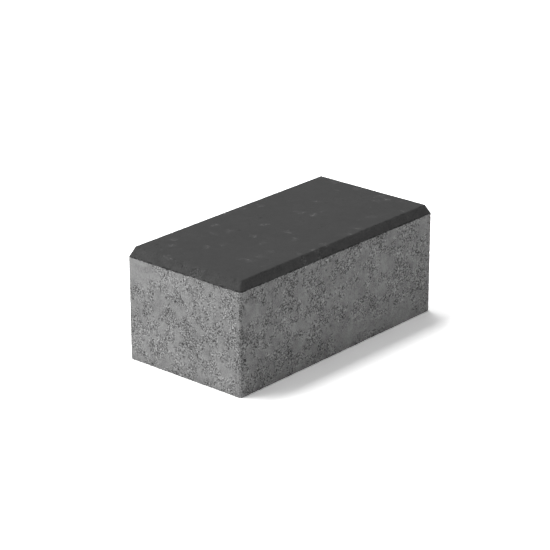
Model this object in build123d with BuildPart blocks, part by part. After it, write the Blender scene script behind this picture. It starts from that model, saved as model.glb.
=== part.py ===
from build123d import *
import os

# Concrete paving stone of two pressed concretes: a grey backing body and, on top
# of it, a thin dark facing layer whose four edges are bevelled.
# Millimetres. +X runs along the stone, +Y across it and +Z up. The origin is the
# centre of the bed face, on which the stone lies.

# Stone as a whole
length = 200.0
width = 100.0
height = 80.0

# Upright corners of the mould, and how they tighten towards the wearing face
corner_radius = 2.2
top_corner_radius = 1.6

# Bevel round the wearing face: it is as tall on all four sides, and runs further
# in at the two ends than along the two sides
bevel_height = 6.8
side_bevel_width = 2.8
end_bevel_width = 4.5

# Soft edge where the bevel meets the wearing face
arris_radius = 0.6

# The facing concrete is as deep as the bevel, so the colours change at its foot
foot_height = height - bevel_height
top_length = length - 2 * end_bevel_width
top_width = width - 2 * side_bevel_width

# Grey backing body, a plain block with four softened upright corners
with BuildPart() as backing_layer:
    with BuildSketch(Plane.XY):
        RectangleRounded(length, width, corner_radius)
    extrude(amount=foot_height)

# Dark facing layer: its faces slope in from the body's outline to the wearing
# face, and the corners between them are the body's corners drawn tighter
with BuildPart() as facing_layer:
    with BuildSketch(Plane.XY.offset(foot_height)):
        RectangleRounded(length, width, corner_radius)
    with BuildSketch(Plane.XY.offset(height)):
        RectangleRounded(top_length, top_width, top_corner_radius)
    loft(ruled=True)
    wearing_face = facing_layer.faces().sort_by(Axis.Z)[-1]
    fillet(wearing_face.edges(), radius=arris_radius)

backing_layer.part.label = "backing_layer"
facing_layer.part.label = "facing_layer"

os.makedirs("parts", exist_ok=True)
export_step(backing_layer.part, "parts/backing_layer.step")
export_step(facing_layer.part, "parts/facing_layer.step")
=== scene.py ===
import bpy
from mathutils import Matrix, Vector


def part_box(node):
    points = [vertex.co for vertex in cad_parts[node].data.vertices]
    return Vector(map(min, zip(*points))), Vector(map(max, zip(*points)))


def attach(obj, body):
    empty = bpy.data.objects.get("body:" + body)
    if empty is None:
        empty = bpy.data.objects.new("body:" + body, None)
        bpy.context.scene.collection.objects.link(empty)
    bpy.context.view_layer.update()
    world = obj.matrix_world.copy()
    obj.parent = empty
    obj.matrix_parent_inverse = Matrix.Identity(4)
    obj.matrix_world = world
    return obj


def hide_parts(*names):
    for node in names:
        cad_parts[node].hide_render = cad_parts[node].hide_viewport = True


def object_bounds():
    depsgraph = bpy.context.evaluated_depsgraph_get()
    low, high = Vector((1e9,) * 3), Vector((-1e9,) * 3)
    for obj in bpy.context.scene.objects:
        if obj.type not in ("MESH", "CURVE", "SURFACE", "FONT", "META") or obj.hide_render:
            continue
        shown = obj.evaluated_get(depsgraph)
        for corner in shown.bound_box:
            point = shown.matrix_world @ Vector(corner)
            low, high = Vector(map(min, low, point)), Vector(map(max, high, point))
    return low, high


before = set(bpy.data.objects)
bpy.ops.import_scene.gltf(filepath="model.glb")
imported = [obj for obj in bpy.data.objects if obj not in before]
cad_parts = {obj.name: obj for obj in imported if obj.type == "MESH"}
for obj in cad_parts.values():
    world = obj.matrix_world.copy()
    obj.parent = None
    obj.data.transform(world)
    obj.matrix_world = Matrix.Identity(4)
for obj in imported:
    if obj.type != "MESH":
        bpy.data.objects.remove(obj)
cad_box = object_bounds()

"""A concrete paving stone of two pressed concretes, dressed for a plain pale studio.

The grey backing body and the dark facing layer each replace the plain solid of the same
name with a dense, closed mesh that carries the surface's real relief. Metres throughout,
in the frame of the solids: +X along the stone, +Y across it and +Z up, with the bed face
at zero height.
"""

import logging
import math
from collections.abc import Callable
from dataclasses import dataclass, field
from enum import Enum
from functools import cache

import bmesh
import bpy
from mathutils import Vector

LOG = logging.getLogger("paving_stone")
MM = 0.001
REST = "rest_position"
WHITE = (1.0, 1.0, 1.0, 1.0)
NO_INSET = Vector((0.0, 0.0, 0.0))

# How far apart new nodes are laid out, and the middle of every noise
NODE_STEP = 180.0
MIDDLE = 0.5

# The most cuts that one subdivide makes, and how many cells long an undivided edge is at least
MOST_CUTS = 100
UNDIVIDED = 2.0

# How near two equal heights are, how straight an edge runs along an axis, and how upright the
# normal of a level face is
TOUCHING = 0.01 * MM
STRAIGHT = 0.99
LEVEL = 0.999


class Axis(Enum):
    """A direction of the stone, as an index into a coordinate."""

    LENGTH = 0
    WIDTH = 1
    HEIGHT = 2


class Pick(Enum):
    """What an edit-mode selection picks."""

    EDGES = "EDGE"
    FACES = "FACE"


class Concrete(Enum):
    """The two concretes, each by its solid's name."""

    BACKING = "backing_layer"
    FACING = "facing_layer"


Socket = bpy.types.NodeSocket
Value = Socket | float
Place = Socket | tuple[float, float, float]


@dataclass(frozen=True)
class Span:
    """The stretch of a value over which something eases from one end to the other."""

    start: float
    end: float


WHOLE = Span(0.0, 1.0)


@dataclass(frozen=True)
class Noise:
    """A noise, by the width of its largest blobs and the number and strength of its finer layers."""

    size: Value
    detail: float = 3.0
    roughness: float = 0.6


@dataclass(frozen=True)
class Speckle:
    """A noise cut into a mask, which is 0 below the cut and 1 above it."""

    noise: Noise
    cut: Span


@dataclass(frozen=True)
class Jitter:
    """Fine noise that makes a pattern ragged, by the width of its blobs and how far it moves things."""

    size: float
    reach: float
    detail: float = 1.0


class Scribe:
    """Writes nodes into a tree and hands back their sockets.

    The texture and maths nodes are the same in geometry and shader trees, so one piece
    of pattern can be written into both and falls in the same place.
    """

    def __init__(self, tree: bpy.types.NodeTree) -> None:
        """Keeps the tree that the nodes go into."""
        self.tree = tree

    def node(self, kind: str, **settings: object) -> bpy.types.Node:
        """Adds a node.

        Args:
            kind: The node's type name.
            **settings: Values for the node's own settings.

        Returns:
            The new node.
        """
        made = self.tree.nodes.new(kind)
        made.location = (NODE_STEP * len(self.tree.nodes), 0.0)
        for name, value in settings.items():
            setattr(made, name, value)
        return made

    def feed(self, socket: Socket, value: Value | Place | str) -> None:
        """Links a socket into an input, or writes a constant on it."""
        if isinstance(value, bpy.types.NodeSocket):
            self.tree.links.new(value, socket)
        else:
            socket.default_value = value

    def math(self, operation: str, first: Value, second: Value = 0.0) -> Socket:
        """Adds a maths node on one or two numbers and returns its result."""
        made = self.node("ShaderNodeMath", operation=operation)
        self.feed(made.inputs[0], first)
        self.feed(made.inputs[1], second)
        return made.outputs[0]

    def product(self, first: Value, *others: Value) -> Value:
        """Returns the product of some numbers."""
        for other in others:
            first = self.math("MULTIPLY", first, other)
        return first

    def total(self, first: Value, *others: Value) -> Value:
        """Returns the sum of some numbers."""
        for other in others:
            first = self.math("ADD", first, other)
        return first

    def rest_of(self, share: Value) -> Socket:
        """Returns what a share leaves of 1."""
        return self.math("SUBTRACT", 1.0, share)

    def apart(self, first: Value, second: Value) -> Socket:
        """Returns how far two numbers are apart."""
        return self.math("ABSOLUTE", self.math("SUBTRACT", first, second))

    def vector(self, operation: str, first: Place, second: Place) -> Socket:
        """Adds a vector maths node on two vectors and returns the vector."""
        made = self.node("ShaderNodeVectorMath", operation=operation)
        self.feed(made.inputs[0], first)
        self.feed(made.inputs[1], second)
        return made.outputs["Vector"]

    def scaled(self, place: Place, factor: Value) -> Socket:
        """Returns a vector times a number."""
        made = self.node("ShaderNodeVectorMath", operation="SCALE")
        self.feed(made.inputs[0], place)
        self.feed(made.inputs["Scale"], factor)
        return made.outputs["Vector"]

    def blend(self, share: Value, first: Place, second: Place) -> Socket:
        """Returns a vector between two, by the share that the second one has."""
        return self.vector("ADD", first, self.scaled(self.vector("SUBTRACT", second, first), share))

    def length(self, place: Place) -> Socket:
        """Returns the length of a vector."""
        made = self.node("ShaderNodeVectorMath", operation="LENGTH")
        self.feed(made.inputs[0], place)
        return made.outputs["Value"]

    def split(self, place: Place) -> tuple[Socket, Socket, Socket]:
        """Returns the three parts of a vector."""
        made = self.node("ShaderNodeSeparateXYZ")
        self.feed(made.inputs[0], place)
        return tuple(made.outputs)

    def ramp(self, value: Value, span: Span, low: Value = 0.0, high: Value = 1.0) -> Socket:
        """Returns a number that eases from low to high as the value goes through a span."""
        made = self.node("ShaderNodeMapRange", interpolation_type="SMOOTHSTEP")
        for name, given in (
            ("Value", value),
            ("From Min", span.start),
            ("From Max", span.end),
            ("To Min", low),
            ("To Max", high),
        ):
            self.feed(made.inputs[name], given)
        return made.outputs["Result"]

    def fade(self, value: Value, span: Span) -> Socket:
        """Returns a mask that is 1 before a span and 0 beyond it."""
        return self.ramp(value, span, 1.0, 0.0)

    def noise(self, place: Place, noise: Noise) -> Socket:
        """Adds a noise texture and returns its value, from 0 to 1."""
        made = self.node("ShaderNodeTexNoise")
        self.feed(made.inputs["Vector"], place)
        self.feed(made.inputs["Scale"], self.math("DIVIDE", 1.0, noise.size))
        self.feed(made.inputs["Detail"], noise.detail)
        self.feed(made.inputs["Roughness"], noise.roughness)
        return made.outputs[0]

    def speckle(self, place: Place, speckle: Speckle) -> Socket:
        """Returns the mask of a speckle."""
        return self.ramp(self.noise(place, speckle.noise), speckle.cut)

    def cells(self, place: Place, size: Value, share: Value) -> tuple[Socket, Socket]:
        """Adds a cell texture, of which a share of the cells is picked by chance.

        Args:
            place: Where the cells are read.
            size: The width of a cell, in metres.
            share: The share of the cells that are picked.

        Returns:
            The distance to the nearest cell's centre, in cell widths, and 1 where that
            cell is picked and 0 where it isn't.
        """
        made = self.node("ShaderNodeTexVoronoi")
        self.feed(made.inputs["Vector"], place)
        self.feed(made.inputs["Scale"], self.math("DIVIDE", 1.0, size))
        own = self.split(made.outputs["Color"])[0]
        return made.outputs["Distance"], self.math("LESS_THAN", own, share)

    def jittered(self, place: Place, jitter: Jitter) -> Socket:
        """Returns a place moved about by fine noise, so that round patterns turn ragged."""
        made = self.node("ShaderNodeTexNoise")
        self.feed(made.inputs["Vector"], place)
        self.feed(made.inputs["Scale"], 1.0 / jitter.size)
        self.feed(made.inputs["Detail"], jitter.detail)
        shift = self.vector("SUBTRACT", made.outputs["Color"], (MIDDLE, MIDDLE, MIDDLE))
        return self.vector("ADD", place, self.scaled(shift, jitter.reach))


@dataclass(frozen=True)
class Smear:
    """A patch of smooth paste, by its middle and how far it reaches along each axis."""

    middle: tuple[float, float, float]
    reach: tuple[float, float, float]


@dataclass(frozen=True)
class OpenTexture:
    """The open, pitted surface of a concrete, between patches of smooth paste.

    The surface is open where the noise of the patches passes the cover. At the upright
    corners, given by their distance from the middle along X and Y, it is more often
    open. Each smear closes it in one place.
    """

    patches: Noise
    cover: float
    onset: Span = Span(-0.06, 0.09)
    ragged: Jitter = Jitter(3 * MM, 3 * MM)
    corners: tuple[float, float] | None = None
    corner_reach: float = 3.0 * MM
    corner_full: float = 1.5 * MM
    corner_lift: float = 0.12
    smears: tuple[Smear, ...] = ()
    smear_ragged: Jitter = Jitter(7 * MM, 14 * MM)
    smear_border: Span = Span(0.55, 1.2)

    def cornered(self, scribe: Scribe, place: Place) -> Value:
        """Writes the mask of the upright corners, 1 at a corner and 0 away from it."""
        mask: Value = 1.0
        for part, edge in zip(scribe.split(place), self.corners):
            near = Span(edge - self.corner_reach, edge - self.corner_full)
            mask = scribe.product(mask, scribe.ramp(scribe.math("ABSOLUTE", part), near))
        return mask

    def smeared(self, scribe: Scribe, place: Place) -> Value:
        """Writes the mask of the placed smears, 1 inside a smear and 0 outside them all."""
        ragged = scribe.jittered(place, self.smear_ragged)
        mask: Value = 0.0
        for smear in self.smears:
            away = scribe.vector("DIVIDE", scribe.vector("SUBTRACT", ragged, smear.middle), smear.reach)
            mask = scribe.math("MAXIMUM", mask, scribe.fade(scribe.length(away), self.smear_border))
        return mask

    def mask(self, scribe: Scribe, place: Place) -> Value:
        """Writes the mask of the surface, 1 on open texture and 0 on smooth paste."""
        broad = scribe.noise(scribe.jittered(place, self.ragged), self.patches)
        if self.corners is not None:
            broad = scribe.total(broad, scribe.product(self.cornered(scribe, place), self.corner_lift))
        opened = scribe.ramp(broad, Span(self.cover + self.onset.start, self.cover + self.onset.end))
        return scribe.product(opened, scribe.rest_of(self.smeared(scribe, place)))


@dataclass(frozen=True)
class Crevices:
    """Fine, winding crevices between the sand grains, where a noise falls below a level."""

    depth: float
    noise: Noise
    level: float
    lip: Span = Span(-0.12, 0.02)

    def mask(self, scribe: Scribe, place: Place) -> Socket:
        """Writes how far down a crevice is, from 0 at its lip to 1 at its floor."""
        wall = Span(self.level + self.lip.start, self.level + self.lip.end)
        return scribe.fade(scribe.noise(place, self.noise), wall)


@dataclass(frozen=True)
class Pits:
    """Ragged pits in a share of the cells of a loose net.

    A pit's radius is given as a share of the spacing, and its floor's as a share of that.
    """

    depth: float
    spacing: float
    share: float
    radius: float = 0.5
    floor: float = 0.35
    ragged: Jitter = Jitter(1.3 * MM, 1.3 * MM)

    def mask(self, scribe: Scribe, place: Place) -> Value:
        """Writes how far down a pit is, from 0 at its lip to 1 at its floor."""
        far, picked = scribe.cells(scribe.jittered(place, self.ragged), self.spacing, self.share)
        return scribe.product(scribe.fade(far, Span(self.floor * self.radius, self.radius)), picked)


@dataclass(frozen=True)
class Crumble:
    """The crumbled edge of the bed, by its depth and how far up it goes."""

    depth: float
    reach: float
    loose: Speckle = Speckle(Noise(4 * MM), Span(0.35, 0.75))

    def worked(self, scribe: Scribe, place: Place, foot: float) -> Value:
        """Writes the depth of the crumbled edge, above a bed at the height of the foot."""
        low = scribe.fade(scribe.split(place)[2], Span(foot, foot + self.reach))
        return scribe.product(low, scribe.speckle(place, self.loose), self.depth)


@dataclass(frozen=True)
class Wear:
    """The chipped edge of the wearing face, by its depth and how far down it goes.

    The chips are at their deepest above a share of the reach, and only where the surface
    turns away from level.
    """

    depth: float
    reach: float
    full: float = 0.3
    upright: Span = Span(0.96, 0.995)
    chips: Speckle = Speckle(Noise(3 * MM), Span(0.48, 0.68))

    def worked(self, scribe: Scribe, place: Place, normal: Place, top: float) -> Value:
        """Writes the depth of the chips, below a wearing face at the height of the top."""
        high = scribe.ramp(scribe.split(place)[2], Span(top - self.reach, top - self.full * self.reach))
        turned = scribe.fade(scribe.split(normal)[2], self.upright)
        return scribe.product(high, turned, scribe.speckle(place, self.chips), self.depth)


@dataclass(frozen=True)
class Relief:
    """How a concrete's surface is worked, with all depths in metres."""

    opened: OpenTexture
    crevices: Crevices
    pits: Pits
    holes: Pits
    wave: float
    waves: Noise
    crumble: Crumble | None = None
    wear: Wear | None = None

    def masks(self, scribe: Scribe, place: Place) -> tuple[Value, Value, Value, Value]:
        """Writes the masks of the open texture, its crevices, its pits and the deeper holes."""
        opened = self.opened.mask(scribe, place)
        crevice = scribe.product(self.crevices.mask(scribe, place), opened)
        pit = scribe.product(self.pits.mask(scribe, place), opened)
        return opened, crevice, pit, self.holes.mask(scribe, place)

    def worked(self, scribe: Scribe, place: Place) -> Value:
        """Writes the depth of the relief that covers the whole surface."""
        _, crevice, pit, hole = self.masks(scribe, place)
        return scribe.total(
            scribe.product(crevice, self.crevices.depth),
            scribe.product(pit, self.pits.depth),
            scribe.product(scribe.noise(place, self.waves), self.wave),
            scribe.product(hole, self.holes.depth),
        )


@dataclass(frozen=True)
class DragMarks:
    """The few short upright marks that the mould dragged into the skin."""

    ragged: Jitter = Jitter(5 * MM, 1.5 * MM)
    stretch: tuple[float, float, float] = (1.0, 1.0, 0.13)
    marks: Speckle = Speckle(Noise(1.8 * MM, 1.0, 0.5), Span(0.66, 0.78))

    def mask(self, scribe: Scribe, place: Place) -> Socket:
        """Writes the mask of the marks, 1 in a mark and 0 beside it."""
        drawn_out = scribe.vector("MULTIPLY", scribe.jittered(place, self.ragged), self.stretch)
        return scribe.speckle(drawn_out, self.marks)


@dataclass(frozen=True)
class JointLine:
    """The ragged line where the facing concrete meets the backing, and the broken seam above it."""

    sway: float = 1.5 * MM
    sways: Noise = Noise(2.6 * MM)
    change: Span = Span(-0.15 * MM, 0.15 * MM)
    seam_height: float = 0.4 * MM
    seam_reach: Span = Span(0.2 * MM, 0.85 * MM)
    seam: Speckle = Speckle(Noise(4 * MM, 3.0, 0.7), Span(0.45, 0.57))

    def masks(self, scribe: Scribe, place: Place, level: Value) -> tuple[Value, Value]:
        """Writes the line.

        Args:
            scribe: Where the nodes go.
            place: Where the pattern is read.
            level: The line's mean height, in metres.

        Returns:
            The facing's share of the surface, and the mask of the seam.
        """
        sway = scribe.math("SUBTRACT", scribe.noise(place, self.sways), MIDDLE)
        above = scribe.math("SUBTRACT", scribe.split(place)[2], level)
        above = scribe.total(above, scribe.product(sway, self.sway))
        near = scribe.fade(scribe.apart(above, self.seam_height), self.seam_reach)
        return scribe.ramp(above, self.change), scribe.product(near, scribe.speckle(place, self.seam))


@dataclass(frozen=True)
class SandGrains:
    """The pale sand grains in the open texture, on a share of the cells of a fine net."""

    ragged: Jitter = Jitter(1.0 * MM, 1.0 * MM)
    edge: Span = Span(0.2, 0.45)
    share: float = 0.3

    def mask(self, scribe: Scribe, place: Place, spacing: Value) -> Value:
        """Writes the mask of the grains, 1 on a grain and 0 beside it."""
        far, picked = scribe.cells(scribe.jittered(place, self.ragged), spacing, self.share)
        return scribe.product(scribe.fade(far, self.edge), picked)


@dataclass(frozen=True)
class Scuffs:
    """The pale rubbed patches on the facing, and the bright strokes inside them."""

    ragged: Jitter = Jitter(6 * MM, 9 * MM)
    edge: Span = Span(0.10, 0.42)
    bends: Noise = Noise(7 * MM, 2.0, 0.5)
    stroke: Span = Span(0.01, 0.06)
    broken: Speckle = Speckle(Noise(4 * MM), Span(0.46, 0.64))

    def masks(self, scribe: Scribe, place: Place, spacing: Value, share: Value) -> tuple[Value, Value]:
        """Writes the scuffs.

        Args:
            scribe: Where the nodes go.
            place: Where the pattern is read.
            spacing: The width of the cells that may each hold a scuff.
            share: The share of the cells that do.

        Returns:
            The mask of the rubbed patches, and that of the strokes.
        """
        far, picked = scribe.cells(scribe.jittered(place, self.ragged), spacing, share)
        scuff = scribe.product(scribe.fade(far, self.edge), picked)
        stroke = scribe.fade(scribe.apart(scribe.noise(place, self.bends), MIDDLE), self.stroke)
        return scuff, scribe.product(stroke, scribe.speckle(place, self.broken), scuff)


@dataclass(frozen=True)
class Finish:
    """The tones of one concrete, as shares of its paste's colour, with its shine and fine bump."""

    name: str
    roughness: float
    specular: float
    blotch: float
    blotch_size: float
    cloud: float
    cloud_size: float
    grain: float
    grain_size: float
    # How far crevices and pits darken the paste: partly their dirt, partly painted shade in the hollows
    crevice_dirt_and_painted_shade: float
    pit_dirt_and_painted_shade: float
    bump: float
    grain_bump: float = 0.5
    smooth_grain: float = 0.22
    smooth_lift: float = 0.0
    drag_shade: float = 0.0
    seam_shade: float = 0.55
    darkest: float = 0.05
    sand: float = 0.0
    sand_spacing: float = 1.5 * MM
    scuff: float = 0.0
    scuff_spacing: float = 12 * MM
    scuff_share: float = 0.6
    glint: float = 0.0
    bevel_grain: float = 1.0
    bevel_cloud: float = 1.0
    bevel_scuff: float = 0.7
    bevel_end: Span = Span(-1.2 * MM, -0.4 * MM)


BACKING_PASTE = (0.316, 0.316, 0.316)
FACING_PASTE = (0.070, 0.070, 0.070)
CLOUD_CUT = Span(0.25, 0.75)
BACKING_RELIEF = Relief(
    opened=OpenTexture(
        patches=Noise(9 * MM),
        cover=0.45,
        corners=(cad_box[1][0], cad_box[1][1]),
        smears=(
            Smear(middle=(-100 * MM, 41 * MM, 65 * MM), reach=(6 * MM, 16 * MM, 13 * MM)),
            Smear(middle=(-100 * MM, 20 * MM, 52 * MM), reach=(5 * MM, 6 * MM, 6 * MM)),
            Smear(middle=(-100 * MM, 4 * MM, 45 * MM), reach=(5 * MM, 7 * MM, 4 * MM)),
            Smear(middle=(-100 * MM, -35 * MM, 16 * MM), reach=(6 * MM, 9 * MM, 6 * MM)),
            Smear(middle=(11 * MM, -50 * MM, 11 * MM), reach=(21 * MM, 6 * MM, 9 * MM)),
            Smear(middle=(61 * MM, -50 * MM, 8 * MM), reach=(20 * MM, 6 * MM, 7 * MM)),
            Smear(middle=(50 * MM, -50 * MM, 50 * MM), reach=(9 * MM, 6 * MM, 8 * MM)),
            Smear(middle=(-90 * MM, -50 * MM, 60 * MM), reach=(8 * MM, 6 * MM, 8 * MM)),
        ),
    ),
    crevices=Crevices(depth=0.28 * MM, noise=Noise(1.3 * MM, 2.0), level=0.48),
    pits=Pits(depth=0.40 * MM, spacing=1.9 * MM, share=0.30),
    holes=Pits(depth=0.7 * MM, spacing=5.0 * MM, share=0.06, radius=0.28),
    wave=0.06 * MM,
    waves=Noise(16 * MM, 1.0, 0.5),
    crumble=Crumble(depth=0.45 * MM, reach=2.2 * MM),
)
FACING_RELIEF = Relief(
    opened=OpenTexture(patches=Noise(15 * MM), cover=0.58),
    crevices=Crevices(depth=0.05 * MM, noise=Noise(1.5 * MM, 2.0), level=0.42),
    pits=Pits(depth=0.08 * MM, spacing=2.4 * MM, share=0.12),
    holes=Pits(depth=0.12 * MM, spacing=7.0 * MM, share=0.03, radius=0.28),
    wave=0.05 * MM,
    waves=Noise(22 * MM, 1.0, 0.5),
    wear=Wear(depth=0.7 * MM, reach=1.5 * MM),
)
BACKING_FINISH = Finish(
    name="backing_concrete",
    roughness=0.9,
    specular=0.03,
    blotch=0.11,
    blotch_size=26 * MM,
    cloud=0.14,
    cloud_size=6 * MM,
    grain=0.80,
    grain_size=0.95 * MM,
    crevice_dirt_and_painted_shade=0.28,
    pit_dirt_and_painted_shade=0.34,
    bump=0.25 * MM,
    smooth_lift=0.03,
    drag_shade=0.35,
    sand=0.6,
)
FACING_FINISH = Finish(
    name="facing_concrete",
    roughness=0.85,
    specular=0.1,
    blotch=0.04,
    blotch_size=30 * MM,
    cloud=0.04,
    cloud_size=7 * MM,
    grain=0.10,
    grain_size=1.2 * MM,
    crevice_dirt_and_painted_shade=0.08,
    pit_dirt_and_painted_shade=0.2,
    bump=0.05 * MM,
    scuff=0.18,
    glint=1.3,
    bevel_grain=6.0,
    bevel_cloud=3.2,
)


def work_in(piece: bpy.types.Object, relief: Relief, foot: float, joint: float, fade: float) -> None:
    """Works a concrete's relief into the active mesh, always inwards.

    The place that each point had before is kept on the mesh, so that the material can
    lay its pattern exactly over the relief.

    Args:
        piece: The active mesh.
        relief: The relief.
        foot: The height of the bed face, by which the surface crumbles.
        joint: The height of the line between the two concretes, where the surface stays
            as it is.
        fade: How far from that line the relief reaches its full depth.
    """
    tree = bpy.data.node_groups.new(f"{piece.name}_relief", "GeometryNodeTree")
    for side in ("INPUT", "OUTPUT"):
        tree.interface.new_socket(name="Geometry", in_out=side, socket_type="NodeSocketGeometry")
    scribe = Scribe(tree)
    place = scribe.node("GeometryNodeInputPosition").outputs[0]
    normal = scribe.node("GeometryNodeInputNormal").outputs[0]
    store = scribe.node("GeometryNodeStoreNamedAttribute", data_type="FLOAT_VECTOR", domain="POINT")
    scribe.feed(store.inputs["Geometry"], scribe.node("NodeGroupInput").outputs[0])
    scribe.feed(store.inputs["Name"], REST)
    scribe.feed(store.inputs["Value"], place)

    depth = relief.worked(scribe, place)
    if relief.crumble is not None:
        depth = scribe.total(depth, relief.crumble.worked(scribe, place, foot))
    if relief.wear is not None:
        top = max(corner[2] for corner in piece.bound_box)
        depth = scribe.total(depth, relief.wear.worked(scribe, place, normal, top))
    gap = scribe.apart(scribe.split(place)[2], joint)
    outwards = scribe.product(depth, scribe.ramp(gap, Span(0.0, fade)), -1.0)

    move = scribe.node("GeometryNodeSetPosition")
    scribe.feed(move.inputs["Geometry"], store.outputs["Geometry"])
    scribe.feed(move.inputs["Offset"], scribe.scaled(normal, outwards))
    scribe.feed(scribe.node("NodeGroupOutput").inputs[0], move.outputs["Geometry"])

    modifier = piece.modifiers.new("relief", "NODES")
    modifier.node_group = tree
    bpy.ops.object.modifier_apply(modifier=modifier.name)


def settle(pick: Pick, wanted: Callable[[bmesh.types.BMEdge | bmesh.types.BMFace], bool]) -> None:
    """Selects the edges or faces of the active mesh that a test wants, and nothing else.

    Args:
        pick: Whether edges or faces are tested.
        wanted: The test.
    """
    bpy.ops.object.mode_set(mode="EDIT")
    bpy.ops.mesh.select_mode(type=pick.value)
    bpy.ops.mesh.select_all(action="DESELECT")
    mesh = bpy.context.object.data
    shape = bmesh.from_edit_mesh(mesh)
    for item in shape.edges if pick is Pick.EDGES else shape.faces:
        if wanted(item):
            item.select_set(True)
    shape.select_flush_mode()
    bmesh.update_edit_mesh(mesh)


def every(item: bmesh.types.BMEdge | bmesh.types.BMFace) -> bool:
    """A test that wants every edge or face."""
    return True


def level(face: bmesh.types.BMFace) -> bool:
    """A test for level faces."""
    return abs(face.normal.z) > LEVEL


def at_height(height: float) -> Callable[[bmesh.types.BMEdge], bool]:
    """Returns a test for edges that lie at a height."""
    return lambda edge: all(abs(point.co.z - height) < TOUCHING for point in edge.verts)


def rim_at(height: float) -> Callable[[bmesh.types.BMEdge], bool]:
    """Returns a test for open edges that lie at a height."""
    return lambda edge: edge.is_boundary and at_height(height)(edge)


def divide(wanted: Callable[[bmesh.types.BMEdge], bool], pieces: int) -> None:
    """Divides each edge that a test wants into equal pieces, in two steps if there are many.

    Args:
        wanted: The test for the edges, which also finds the parts after a first step.
        pieces: How many pieces an edge becomes, less what the first step can't share out.
    """
    first = math.ceil(pieces / MOST_CUTS)
    for parts in (first, pieces // first):
        if parts > 1:
            settle(Pick.EDGES, wanted)
            bpy.ops.mesh.subdivide(number_cuts=parts - 1)


@dataclass
class Layer:
    """One pressed layer of the stone, modelled over the solid of the same name.

    The cells asked for along a straight edge are a multiple of cell_multiple.
    """

    concrete: Concrete
    relief: Relief
    finish: Finish
    corner_radius: float = 2.2 * MM
    corner_steps: int = 6
    joint_fade: float = 0.8 * MM
    cell: float = 0.7 * MM
    cell_multiple: int = 3
    low: Vector = field(init=False)
    high: Vector = field(init=False)
    joint: float = field(init=False)
    crown: float = field(init=False)

    def __post_init__(self) -> None:
        """Takes the layer's box, and the heights of joint and wearing face, from the solids."""
        low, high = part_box(self.concrete.value)
        self.low, self.high = Vector(low), Vector(high)
        facing_low, facing_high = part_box(Concrete.FACING.value)
        self.joint, self.crown = facing_low[2], facing_high[2]

    @property
    def size(self) -> Vector:
        """The layer's length, width and height."""
        return self.high - self.low

    def straight(self, inset: Vector) -> Vector:
        """Returns how long the straight stretches between the corners are, less an inset."""
        return self.size - 2 * inset - 2 * self.corner_radius * Vector((1, 1, 0))

    def undivided(self, axis: Axis) -> Callable[[bmesh.types.BMEdge], bool]:
        """Returns a test for edges that run along an axis and aren't divided into cells yet."""

        def wanted(edge: bmesh.types.BMEdge) -> bool:
            """True for an edge in line with the axis and longer than some cells."""
            step = edge.verts[1].co - edge.verts[0].co
            in_line = abs(step[axis.value]) > STRAIGHT * step.length
            return in_line and step.length > UNDIVIDED * self.cell

        return wanted

    def net(self, straight: Vector, axes: tuple[Axis, ...]) -> None:
        """Divides the straight edges of the active mesh into cells.

        Args:
            straight: How long the straight stretches are.
            axes: The axes along which edges are divided.
        """
        for axis in axes:
            cells = self.cell_multiple * round(straight[axis.value] / self.cell / self.cell_multiple)
            divide(self.undivided(axis), cells)

    def cap(self, height: float) -> None:
        """Closes the joint face at a height and marks its edge as sharp, so that shading stops there."""
        settle(Pick.EDGES, rim_at(height))
        bpy.ops.mesh.edge_face_add()
        settle(
            Pick.EDGES,
            lambda edge: at_height(height)(edge)
            and any(level(face) for face in edge.link_faces)
            and not all(level(face) for face in edge.link_faces),
        )
        bpy.ops.mesh.mark_sharp()

    def hand_over(self, piece: bpy.types.Object) -> None:
        """Puts a finished mesh on the stone in place of its solid.

        Args:
            piece: The closed mesh.
        """
        settle(Pick.FACES, every)
        bpy.ops.mesh.normals_make_consistent(inside=False)
        bpy.ops.object.mode_set(mode="OBJECT")
        bpy.ops.object.shade_smooth()
        skin = ConcreteMaterial(self.finish, self.relief, self.joint, self.crown)
        piece.data.materials.append(skin.material)
        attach(piece, "root")
        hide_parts(self.concrete.value)
        triangles = sum(len(face.vertices) - 2 for face in piece.data.polygons)
        LOG.info("%s: %d triangles, replaces %s", piece.name, triangles, self.concrete.value)


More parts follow.
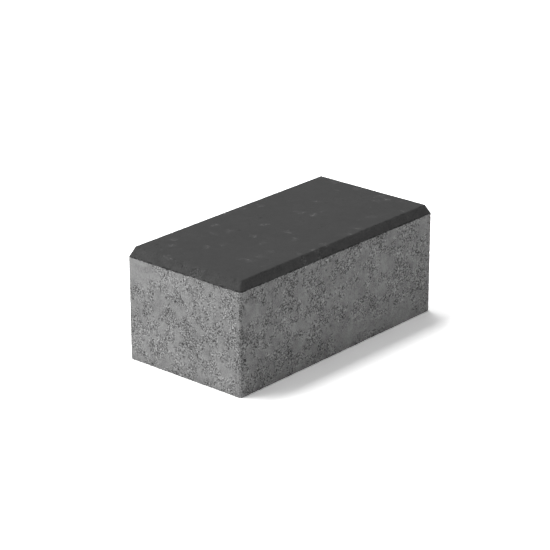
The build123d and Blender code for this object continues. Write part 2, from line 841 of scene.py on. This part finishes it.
@dataclass
class BackingLayer(Layer):
    """The grey body under the facing, with softened upright corners."""

    bed_cells: tuple[int, int] = (96, 48)
    bed_margin: float = 1.6 * MM

    def walls(self) -> bpy.types.Object:
        """Models the four open walls as a fine net of squares and returns them."""
        bpy.ops.object.select_all(action="DESELECT")
        bpy.ops.mesh.primitive_cube_add(size=1.0, location=(self.low + self.high) / 2, scale=self.size)
        bpy.ops.object.transform_apply()
        piece = bpy.context.object
        piece.name = piece.data.name = f"{self.concrete.value}_cast"
        settle(Pick.FACES, level)
        bpy.ops.mesh.delete(type="ONLY_FACE")
        settle(Pick.EDGES, self.undivided(Axis.HEIGHT))
        bpy.ops.mesh.bevel(offset=self.corner_radius, segments=self.corner_steps, affect="EDGES")
        self.net(self.straight(NO_INSET), tuple(Axis))
        bpy.ops.object.mode_set(mode="OBJECT")
        return piece

    def bed(self) -> bpy.types.Object:
        """Models the bed face inside its margin and returns it."""
        along, across = self.bed_cells
        bpy.ops.object.select_all(action="DESELECT")
        bpy.ops.mesh.primitive_grid_add(
            x_subdivisions=along, y_subdivisions=across, size=1.0, location=(0.0, 0.0, self.low.z)
        )
        settle(Pick.FACES, every)
        sides = (self.size.x - 2 * self.bed_margin, self.size.y - 2 * self.bed_margin, 1.0)
        bpy.ops.transform.resize(value=sides, center_override=(0.0, 0.0, 0.0))
        bpy.ops.mesh.flip_normals()
        bpy.ops.object.mode_set(mode="OBJECT")
        bpy.ops.object.transform_apply()
        bpy.context.object.name = "bed_relief"
        return bpy.context.object

    def build(self) -> bpy.types.Object:
        """Models the whole layer and returns it."""
        bed = self.bed()
        work_in(bed, self.relief, self.low.z, self.joint, self.joint_fade)
        piece = self.walls()
        work_in(piece, self.relief, self.low.z, self.joint, self.joint_fade)
        bed.select_set(True)
        bpy.ops.object.join()
        middle = (self.low.z + self.high.z) / 2
        settle(Pick.EDGES, lambda edge: edge.is_boundary and edge.verts[0].co.z < middle)
        bpy.ops.mesh.bridge_edge_loops()
        self.cap(self.high.z)
        self.hand_over(piece)
        return piece


@dataclass
class FacingLayer(Layer):
    """The dark layer on top: a bevel all round and the wearing face inside it."""

    cell: float = 0.55 * MM
    cell_multiple: int = 2
    side_bevel_width: float = 2.8 * MM
    end_bevel_width: float = 4.5 * MM
    top_corner_radius: float = 0.9 * MM
    arris_radius: float = 0.6 * MM
    arris_steps: int = 3

    def ring(self, height: float, inset: Vector, radius: float) -> bpy.types.Object:
        """Adds a level rounded rectangle without a face and returns it.

        Args:
            height: Its height.
            inset: How far it lies inside the layer's box, along each axis.
            radius: The radius of its corners.
        """
        bpy.ops.object.select_all(action="DESELECT")
        bpy.ops.mesh.primitive_plane_add(size=1.0, location=(0.0, 0.0, height))
        settle(Pick.FACES, every)
        sides = self.size - 2 * inset
        bpy.ops.transform.resize(value=(sides.x, sides.y, 1.0), center_override=(0.0, 0.0, height))
        bpy.ops.mesh.bevel(offset=radius, segments=self.corner_steps, affect="VERTICES")
        settle(Pick.FACES, every)
        bpy.ops.mesh.delete(type="ONLY_FACE")
        bpy.ops.object.mode_set(mode="OBJECT")
        bpy.ops.object.transform_apply()
        return bpy.context.object

    def shell(self) -> bpy.types.Object:
        """Models the open shell of bevel and arris as a fine net and returns it."""
        top = self.high.z
        inset = Vector((self.end_bevel_width, self.side_bevel_width, 0.0))
        upper = self.ring(top, inset, self.top_corner_radius)
        piece = self.ring(self.low.z, NO_INSET, self.corner_radius)
        piece.name = piece.data.name = f"{self.concrete.value}_cast"
        upper.select_set(True)
        bpy.ops.object.join()
        settle(Pick.EDGES, every)
        bpy.ops.mesh.bridge_edge_loops()
        settle(Pick.EDGES, rim_at(top))
        bpy.ops.mesh.edge_face_add()
        settle(Pick.EDGES, at_height(top))
        bpy.ops.mesh.bevel(offset=self.arris_radius, segments=self.arris_steps, affect="EDGES")
        settle(Pick.FACES, level)
        bpy.ops.mesh.delete(type="ONLY_FACE")
        self.net(self.straight(inset), (Axis.LENGTH, Axis.WIDTH))
        settle(Pick.EDGES, lambda edge: abs(edge.verts[0].co.z - edge.verts[1].co.z) > self.size.z / 2)
        bpy.ops.mesh.subdivide(number_cuts=round(self.size.z / self.cell) - 1)
        return piece

    def face_over(self) -> None:
        """Fills the wearing face with a grid that starts at the middle of a corner."""
        settle(Pick.EDGES, rim_at(self.high.z))
        mesh = bpy.context.object.data
        shape = bmesh.from_edit_mesh(mesh)
        rim = [edge for edge in shape.edges if edge.select]
        points = {point for edge in rim for point in edge.verts}
        back = max(point.co.y for point in points) - TOUCHING
        side = [edge for edge in rim if min(point.co.y for point in edge.verts) > back]
        shape.select_history.clear()
        shape.select_history.add(max(points, key=lambda point: point.co.x + point.co.y))
        bmesh.update_edit_mesh(mesh)
        bpy.ops.mesh.fill_grid(span=len(side) + self.corner_steps)

    def build(self) -> bpy.types.Object:
        """Models the whole layer and returns it."""
        piece = self.shell()
        self.face_over()
        bpy.ops.object.mode_set(mode="OBJECT")
        work_in(piece, self.relief, 0.0, self.joint, self.joint_fade)
        self.cap(self.low.z)
        self.hand_over(piece)
        return piece


class ShaderGroup:
    """A shader node group that works out numbers from a place and other numbers."""

    def __init__(self, name: str, numbers: tuple[str, ...], outputs: tuple[str, ...]) -> None:
        """Makes the group with its sockets.

        Args:
            name: The group's name.
            numbers: The names of its inputs after the place.
            outputs: The names of its outputs.
        """
        self.tree = bpy.data.node_groups.new(name, "ShaderNodeTree")
        self.tree.interface.new_socket(name="Position", in_out="INPUT", socket_type="NodeSocketVector")
        for side, labels in (("INPUT", numbers), ("OUTPUT", outputs)):
            for label in labels:
                self.tree.interface.new_socket(name=label, in_out=side, socket_type="NodeSocketFloat")
        self.scribe = Scribe(self.tree)
        given = self.scribe.node("NodeGroupInput").outputs
        self.given = tuple(given[label] for label in ("Position", *numbers))
        self.result = self.scribe.node("NodeGroupOutput").inputs

    def put_out(self, *values: Value) -> bpy.types.NodeTree:
        """Feeds the outputs in their order and returns the finished group."""
        for socket, value in zip(self.result, values):
            self.scribe.feed(socket, value)
        return self.tree


def worked_group(relief: Relief, name: str) -> bpy.types.NodeTree:
    """Returns the group that finds a concrete's relief again for its material.

    Args:
        relief: The relief, which the mesh was worked with.
        name: The concrete's name.
    """
    group = ShaderGroup(f"{name}_worked", (), ("Open", "Crevice", "Pit", "Drag"))
    scribe, (place,) = group.scribe, group.given
    opened, crevice, pit, hole = relief.masks(scribe, place)
    # The holes join the pits, so the material gives them the same dirt and painted shade
    deepest = scribe.math("MAXIMUM", pit, hole)
    return group.put_out(opened, crevice, deepest, DragMarks().mask(scribe, place))


@cache
def cloud_group() -> bpy.types.NodeTree:
    """Returns the group for clouds of grain or tone, from -1 to 1."""
    group = ShaderGroup("concrete_clouds", ("Size",), ("Tone",))
    place, size = group.given
    return group.put_out(group.scribe.ramp(group.scribe.noise(place, Noise(size)), CLOUD_CUT, -1.0, 1.0))


@cache
def sand_group() -> bpy.types.NodeTree:
    """Returns the group for the pale sand grains."""
    group = ShaderGroup("pale_sand", ("Spacing",), ("Grain",))
    return group.put_out(SandGrains().mask(group.scribe, *group.given))


@cache
def scuff_group() -> bpy.types.NodeTree:
    """Returns the group for the pale scuffs on the facing and the glints in them."""
    group = ShaderGroup("pale_scuffs", ("Spacing", "Share"), ("Scuff", "Glint"))
    return group.put_out(*Scuffs().masks(group.scribe, *group.given))


@cache
def joint_group() -> bpy.types.NodeTree:
    """Returns the group for the ragged line between the two concretes."""
    group = ShaderGroup("ragged_joint", ("Level",), ("Facing", "Seam"))
    return group.put_out(*JointLine().masks(group.scribe, *group.given))


@dataclass
class ConcreteMaterial:
    """The node material of one concrete, with the facing's colour above the ragged joint."""

    finish: Finish
    relief: Relief
    joint: float
    crown: float
    material: bpy.types.Material = field(init=False)
    scribe: Scribe = field(init=False)
    place: Socket = field(init=False)
    under_crown: Socket = field(init=False)
    worked: bpy.types.NodeOutputs = field(init=False)
    line: bpy.types.NodeOutputs = field(init=False)
    grain: Socket = field(init=False)

    def __post_init__(self) -> None:
        """Builds the material, from the patterns that several of its parts share."""
        self.material = bpy.data.materials.new(self.finish.name)
        self.material.use_nodes = True
        self.material.node_tree.nodes.clear()
        self.scribe = Scribe(self.material.node_tree)
        self.place = self.scribe.node("ShaderNodeAttribute", attribute_name=REST).outputs["Vector"]
        self.under_crown = self.scribe.math("SUBTRACT", self.scribe.split(self.place)[2], self.crown)
        self.worked = self.placed(worked_group(self.relief, self.finish.name))
        self.line = self.placed(joint_group(), Level=self.joint)
        self.grain = self.cloud(self.finish.grain_size)
        self.dress()

    def placed(self, tree: bpy.types.NodeTree, **given: float) -> bpy.types.NodeOutputs:
        """Places a group in the material, read at the place that each point had at first.

        Args:
            tree: The group.
            **given: Its other inputs, by name.

        Returns:
            The group's outputs.
        """
        made = self.scribe.node("ShaderNodeGroup", node_tree=tree)
        self.scribe.feed(made.inputs["Position"], self.place)
        for name, value in given.items():
            self.scribe.feed(made.inputs[name], value)
        return made.outputs

    def cloud(self, size: float) -> Socket:
        """Returns clouds of a size, from -1 to 1."""
        return self.placed(cloud_group(), Size=size)["Tone"]

    def on_bevel(self, factor: float) -> Socket:
        """Returns a factor that holds on the bevel and eases to 1 on the wearing face."""
        return self.scribe.ramp(self.under_crown, self.finish.bevel_end, factor, 1.0)

    def paste_tone(self) -> Value:
        """Returns the tone of paste and sand, with its grain, clouds and blotches."""
        scribe, finish, opened = self.scribe, self.finish, self.worked["Open"]
        amount = scribe.ramp(opened, WHOLE, finish.smooth_grain * finish.grain, finish.grain)
        tone = scribe.total(
            1.0,
            scribe.product(self.grain, amount, self.on_bevel(finish.bevel_grain)),
            scribe.product(self.cloud(finish.blotch_size), finish.blotch),
            scribe.product(self.cloud(finish.cloud_size), finish.cloud, self.on_bevel(finish.bevel_cloud)),
            scribe.ramp(opened, WHOLE, finish.smooth_lift, 0.0),
        )
        if finish.sand > 0:
            sand = self.placed(sand_group(), Spacing=finish.sand_spacing)["Grain"]
            tone = scribe.total(tone, scribe.product(sand, opened, finish.sand))
        return tone

    def pale(self) -> Value:
        """Returns what the scuffs and glints add to the tone of the facing."""
        scribe, finish = self.scribe, self.finish
        scuffs = self.placed(scuff_group(), Spacing=finish.scuff_spacing, Share=finish.scuff_share)
        rubbed = scribe.product(scuffs["Scuff"], finish.scuff)
        pale = scribe.total(rubbed, scribe.product(scuffs["Glint"], finish.glint))
        return scribe.product(pale, self.on_bevel(finish.bevel_scuff), self.line["Facing"])

    def tone(self) -> Value:
        """Returns the whole tone: the paste, darkened where it is sunk by dirt and painted shade, the
        scuffs and the seam.
        """
        scribe, finish = self.scribe, self.finish
        tone = self.paste_tone()
        # Crevices and pits are darkened for their dirt and as painted shade; the drag marks are darker
        # marks of the mould
        shades = {"Crevice": finish.crevice_dirt_and_painted_shade, "Pit": finish.pit_dirt_and_painted_shade, "Drag": finish.drag_shade}
        for name, shade in shades.items():
            tone = scribe.product(tone, scribe.rest_of(scribe.product(self.worked[name], shade)))
        if finish.scuff > 0:
            tone = scribe.total(tone, self.pale())
        seam = scribe.rest_of(scribe.product(self.line["Seam"], finish.seam_shade))
        return scribe.math("MAXIMUM", scribe.product(tone, seam), finish.darkest)

    def dress(self) -> None:
        """Builds the surface from the colour, the shine and the bump."""
        scribe, finish = self.scribe, self.finish
        paste = scribe.blend(self.line["Facing"], BACKING_PASTE, FACING_PASTE)
        surface = scribe.node("ShaderNodeBsdfPrincipled")
        scribe.feed(surface.inputs["Base Color"], scribe.scaled(paste, self.tone()))
        scribe.feed(surface.inputs["Roughness"], finish.roughness)
        scribe.feed(surface.inputs["Specular IOR Level"], finish.specular)
        bump = scribe.node("ShaderNodeBump")
        sunk = scribe.math("MAXIMUM", self.worked["Crevice"], self.worked["Pit"])
        raised = scribe.product(self.grain, finish.grain_bump)
        scribe.feed(bump.inputs["Distance"], finish.bump)
        scribe.feed(bump.inputs["Height"], scribe.math("SUBTRACT", raised, sunk))
        scribe.feed(surface.inputs["Normal"], bump.outputs["Normal"])
        output = scribe.node("ShaderNodeOutputMaterial")
        scribe.feed(output.inputs["Surface"], surface.outputs["BSDF"])


def as_seen(scribe: Scribe, hidden: float, seen: float) -> Value:
    """Writes a number that differs for what the camera sees, directly or in a reflection.

    Args:
        scribe: Where the nodes go.
        hidden: The number for the light on the stone.
        seen: The number for the picture.

    Returns:
        The number.
    """
    path = scribe.node("ShaderNodeLightPath").outputs
    looks = scribe.math("MAXIMUM", path["Is Camera Ray"], path["Is Glossy Ray"])
    looks = scribe.math("MAXIMUM", looks, path["Is Transmission Ray"])
    return scribe.total(hidden, scribe.product(looks, seen - hidden))


@dataclass(frozen=True)
class SideLamp:
    """A low soft lamp beside the stone, turned by some degrees from -X towards +Y and raised."""

    name: str
    distance: float
    turn: float
    rise: float
    size: tuple[float, float]
    power: float

    @property
    def towards(self) -> Vector:
        """The direction in which the stone sees the lamp."""
        turn, rise = math.radians(self.turn), math.radians(self.rise)
        return Vector((-math.cos(turn) * math.cos(rise), math.sin(turn) * math.cos(rise), math.sin(rise)))


@dataclass
class Studio:
    """The plain pale floor, the soft lamps and the camera, with angles in degrees."""

    target: tuple[float, float, float] = (-3.94 * MM, 4.53 * MM, 43.49 * MM)
    distance: float = 1.5383
    heading: float = 48.951
    drop: float = 21.352
    lens: float = 147.4
    sensor: float = 36.0
    floor_size: float = 12.0
    floor_tone: float = 0.95
    floor_shown: float = 2.15
    sky: float = 0.25
    sky_shown: float = 1.0
    key_height: float = 2.4
    key_lean: tuple[float, float] = (-0.134, 0.43)
    key_spread: tuple[float, float] = (1.052, 0.48)
    key_power: float = 50.0
    side_lamps: tuple[SideLamp, ...] = (
        SideLamp("side_lamp", distance=1.8, turn=38.0, rise=10.0, size=(1.6, 0.5), power=15.2),
        SideLamp("fill_lamp", distance=0.6, turn=-90.0, rise=20.0, size=(0.5, 0.15), power=0.22),
    )

    def camera(self) -> None:
        """Adds the camera at the viewing angle."""
        heading, drop = math.radians(self.heading), math.radians(self.drop)
        level_part = math.cos(drop)
        sight = Vector((math.sin(heading) * level_part, math.cos(heading) * level_part, -math.sin(drop)))
        data = bpy.data.cameras.new("camera")
        data.lens = self.lens
        data.sensor_width = self.sensor
        camera = bpy.data.objects.new("camera", data)
        camera.location = Vector(self.target) - sight * self.distance
        camera.rotation_euler = (math.pi / 2 - drop, 0.0, -heading)
        bpy.context.scene.collection.objects.link(camera)
        bpy.context.scene.camera = camera

    def lamp(self, name: str, place: Vector, aim: Vector, size: tuple[float, float], power: float) -> None:
        """Adds a rectangular soft lamp.

        Args:
            name: The lamp's name.
            place: Its centre.
            aim: The direction it shines in.
            size: Its two sides, along X first.
            power: Its power in watts.
        """
        data = bpy.data.lights.new(name, "AREA")
        data.shape = "RECTANGLE"
        data.size, data.size_y = size
        data.energy = power
        lamp = bpy.data.objects.new(name, data)
        lamp.location = place
        lamp.rotation_mode = "QUATERNION"
        lamp.rotation_quaternion = aim.to_track_quat("-Z", "Y")
        bpy.context.scene.collection.objects.link(lamp)

    def lamps(self) -> None:
        """Adds the overhead key lamp and the low lamps, for the left end and the long side."""
        down = Vector((0.0, 0.0, -1.0))
        place = Vector((*self.key_lean, 1.0)) * self.key_height
        along, across = (spread * self.key_height for spread in self.key_spread)
        self.lamp("key_lamp", place, down, (along, across), self.key_power)
        for side in self.side_lamps:
            self.lamp(side.name, side.towards * side.distance, -side.towards, side.size, side.power)

    def sky_light(self) -> None:
        """Gives the world an even soft light, and plain white to the camera and in reflections."""
        world = bpy.data.worlds.new("studio")
        bpy.context.scene.world = world
        world.use_nodes = True
        world.node_tree.nodes.clear()
        scribe = Scribe(world.node_tree)
        back = scribe.node("ShaderNodeBackground")
        scribe.feed(back.inputs["Color"], WHITE)
        scribe.feed(back.inputs["Strength"], as_seen(scribe, self.sky, self.sky_shown))
        scribe.feed(scribe.node("ShaderNodeOutputWorld").inputs["Surface"], back.outputs[0])

    def floor(self) -> None:
        """Adds the level floor, which looks white to the camera and keeps the stone's shadow."""
        bpy.ops.object.select_all(action="DESELECT")
        bpy.ops.mesh.primitive_plane_add(size=self.floor_size, location=(0.0, 0.0, 0.0))
        floor = bpy.context.object
        floor.name = "studio_floor"
        material = bpy.data.materials.new("floor_paper")
        material.use_nodes = True
        material.node_tree.nodes.clear()
        scribe = Scribe(material.node_tree)
        paper = scribe.node("ShaderNodeBsdfDiffuse")
        scribe.feed(paper.inputs["Color"], as_seen(scribe, self.floor_tone, self.floor_shown))
        scribe.feed(scribe.node("ShaderNodeOutputMaterial").inputs["Surface"], paper.outputs[0])
        floor.data.materials.append(material)

    def build(self) -> None:
        """Builds the whole studio."""
        bpy.context.scene.view_settings.view_transform = "Standard"
        self.camera()
        self.lamps()
        self.sky_light()
        self.floor()
        LOG.info("studio: camera %.0f mm, %d low lamps, floor", self.lens, len(self.side_lamps))


def main() -> None:
    """Builds the studio and the stone."""
    logging.basicConfig(level=logging.INFO, format="%(name)s: %(message)s")
    Studio().build()
    BackingLayer(Concrete.BACKING, BACKING_RELIEF, BACKING_FINISH).build()
    FacingLayer(Concrete.FACING, FACING_RELIEF, FACING_FINISH).build()


if __name__ == "__main__":
    main()
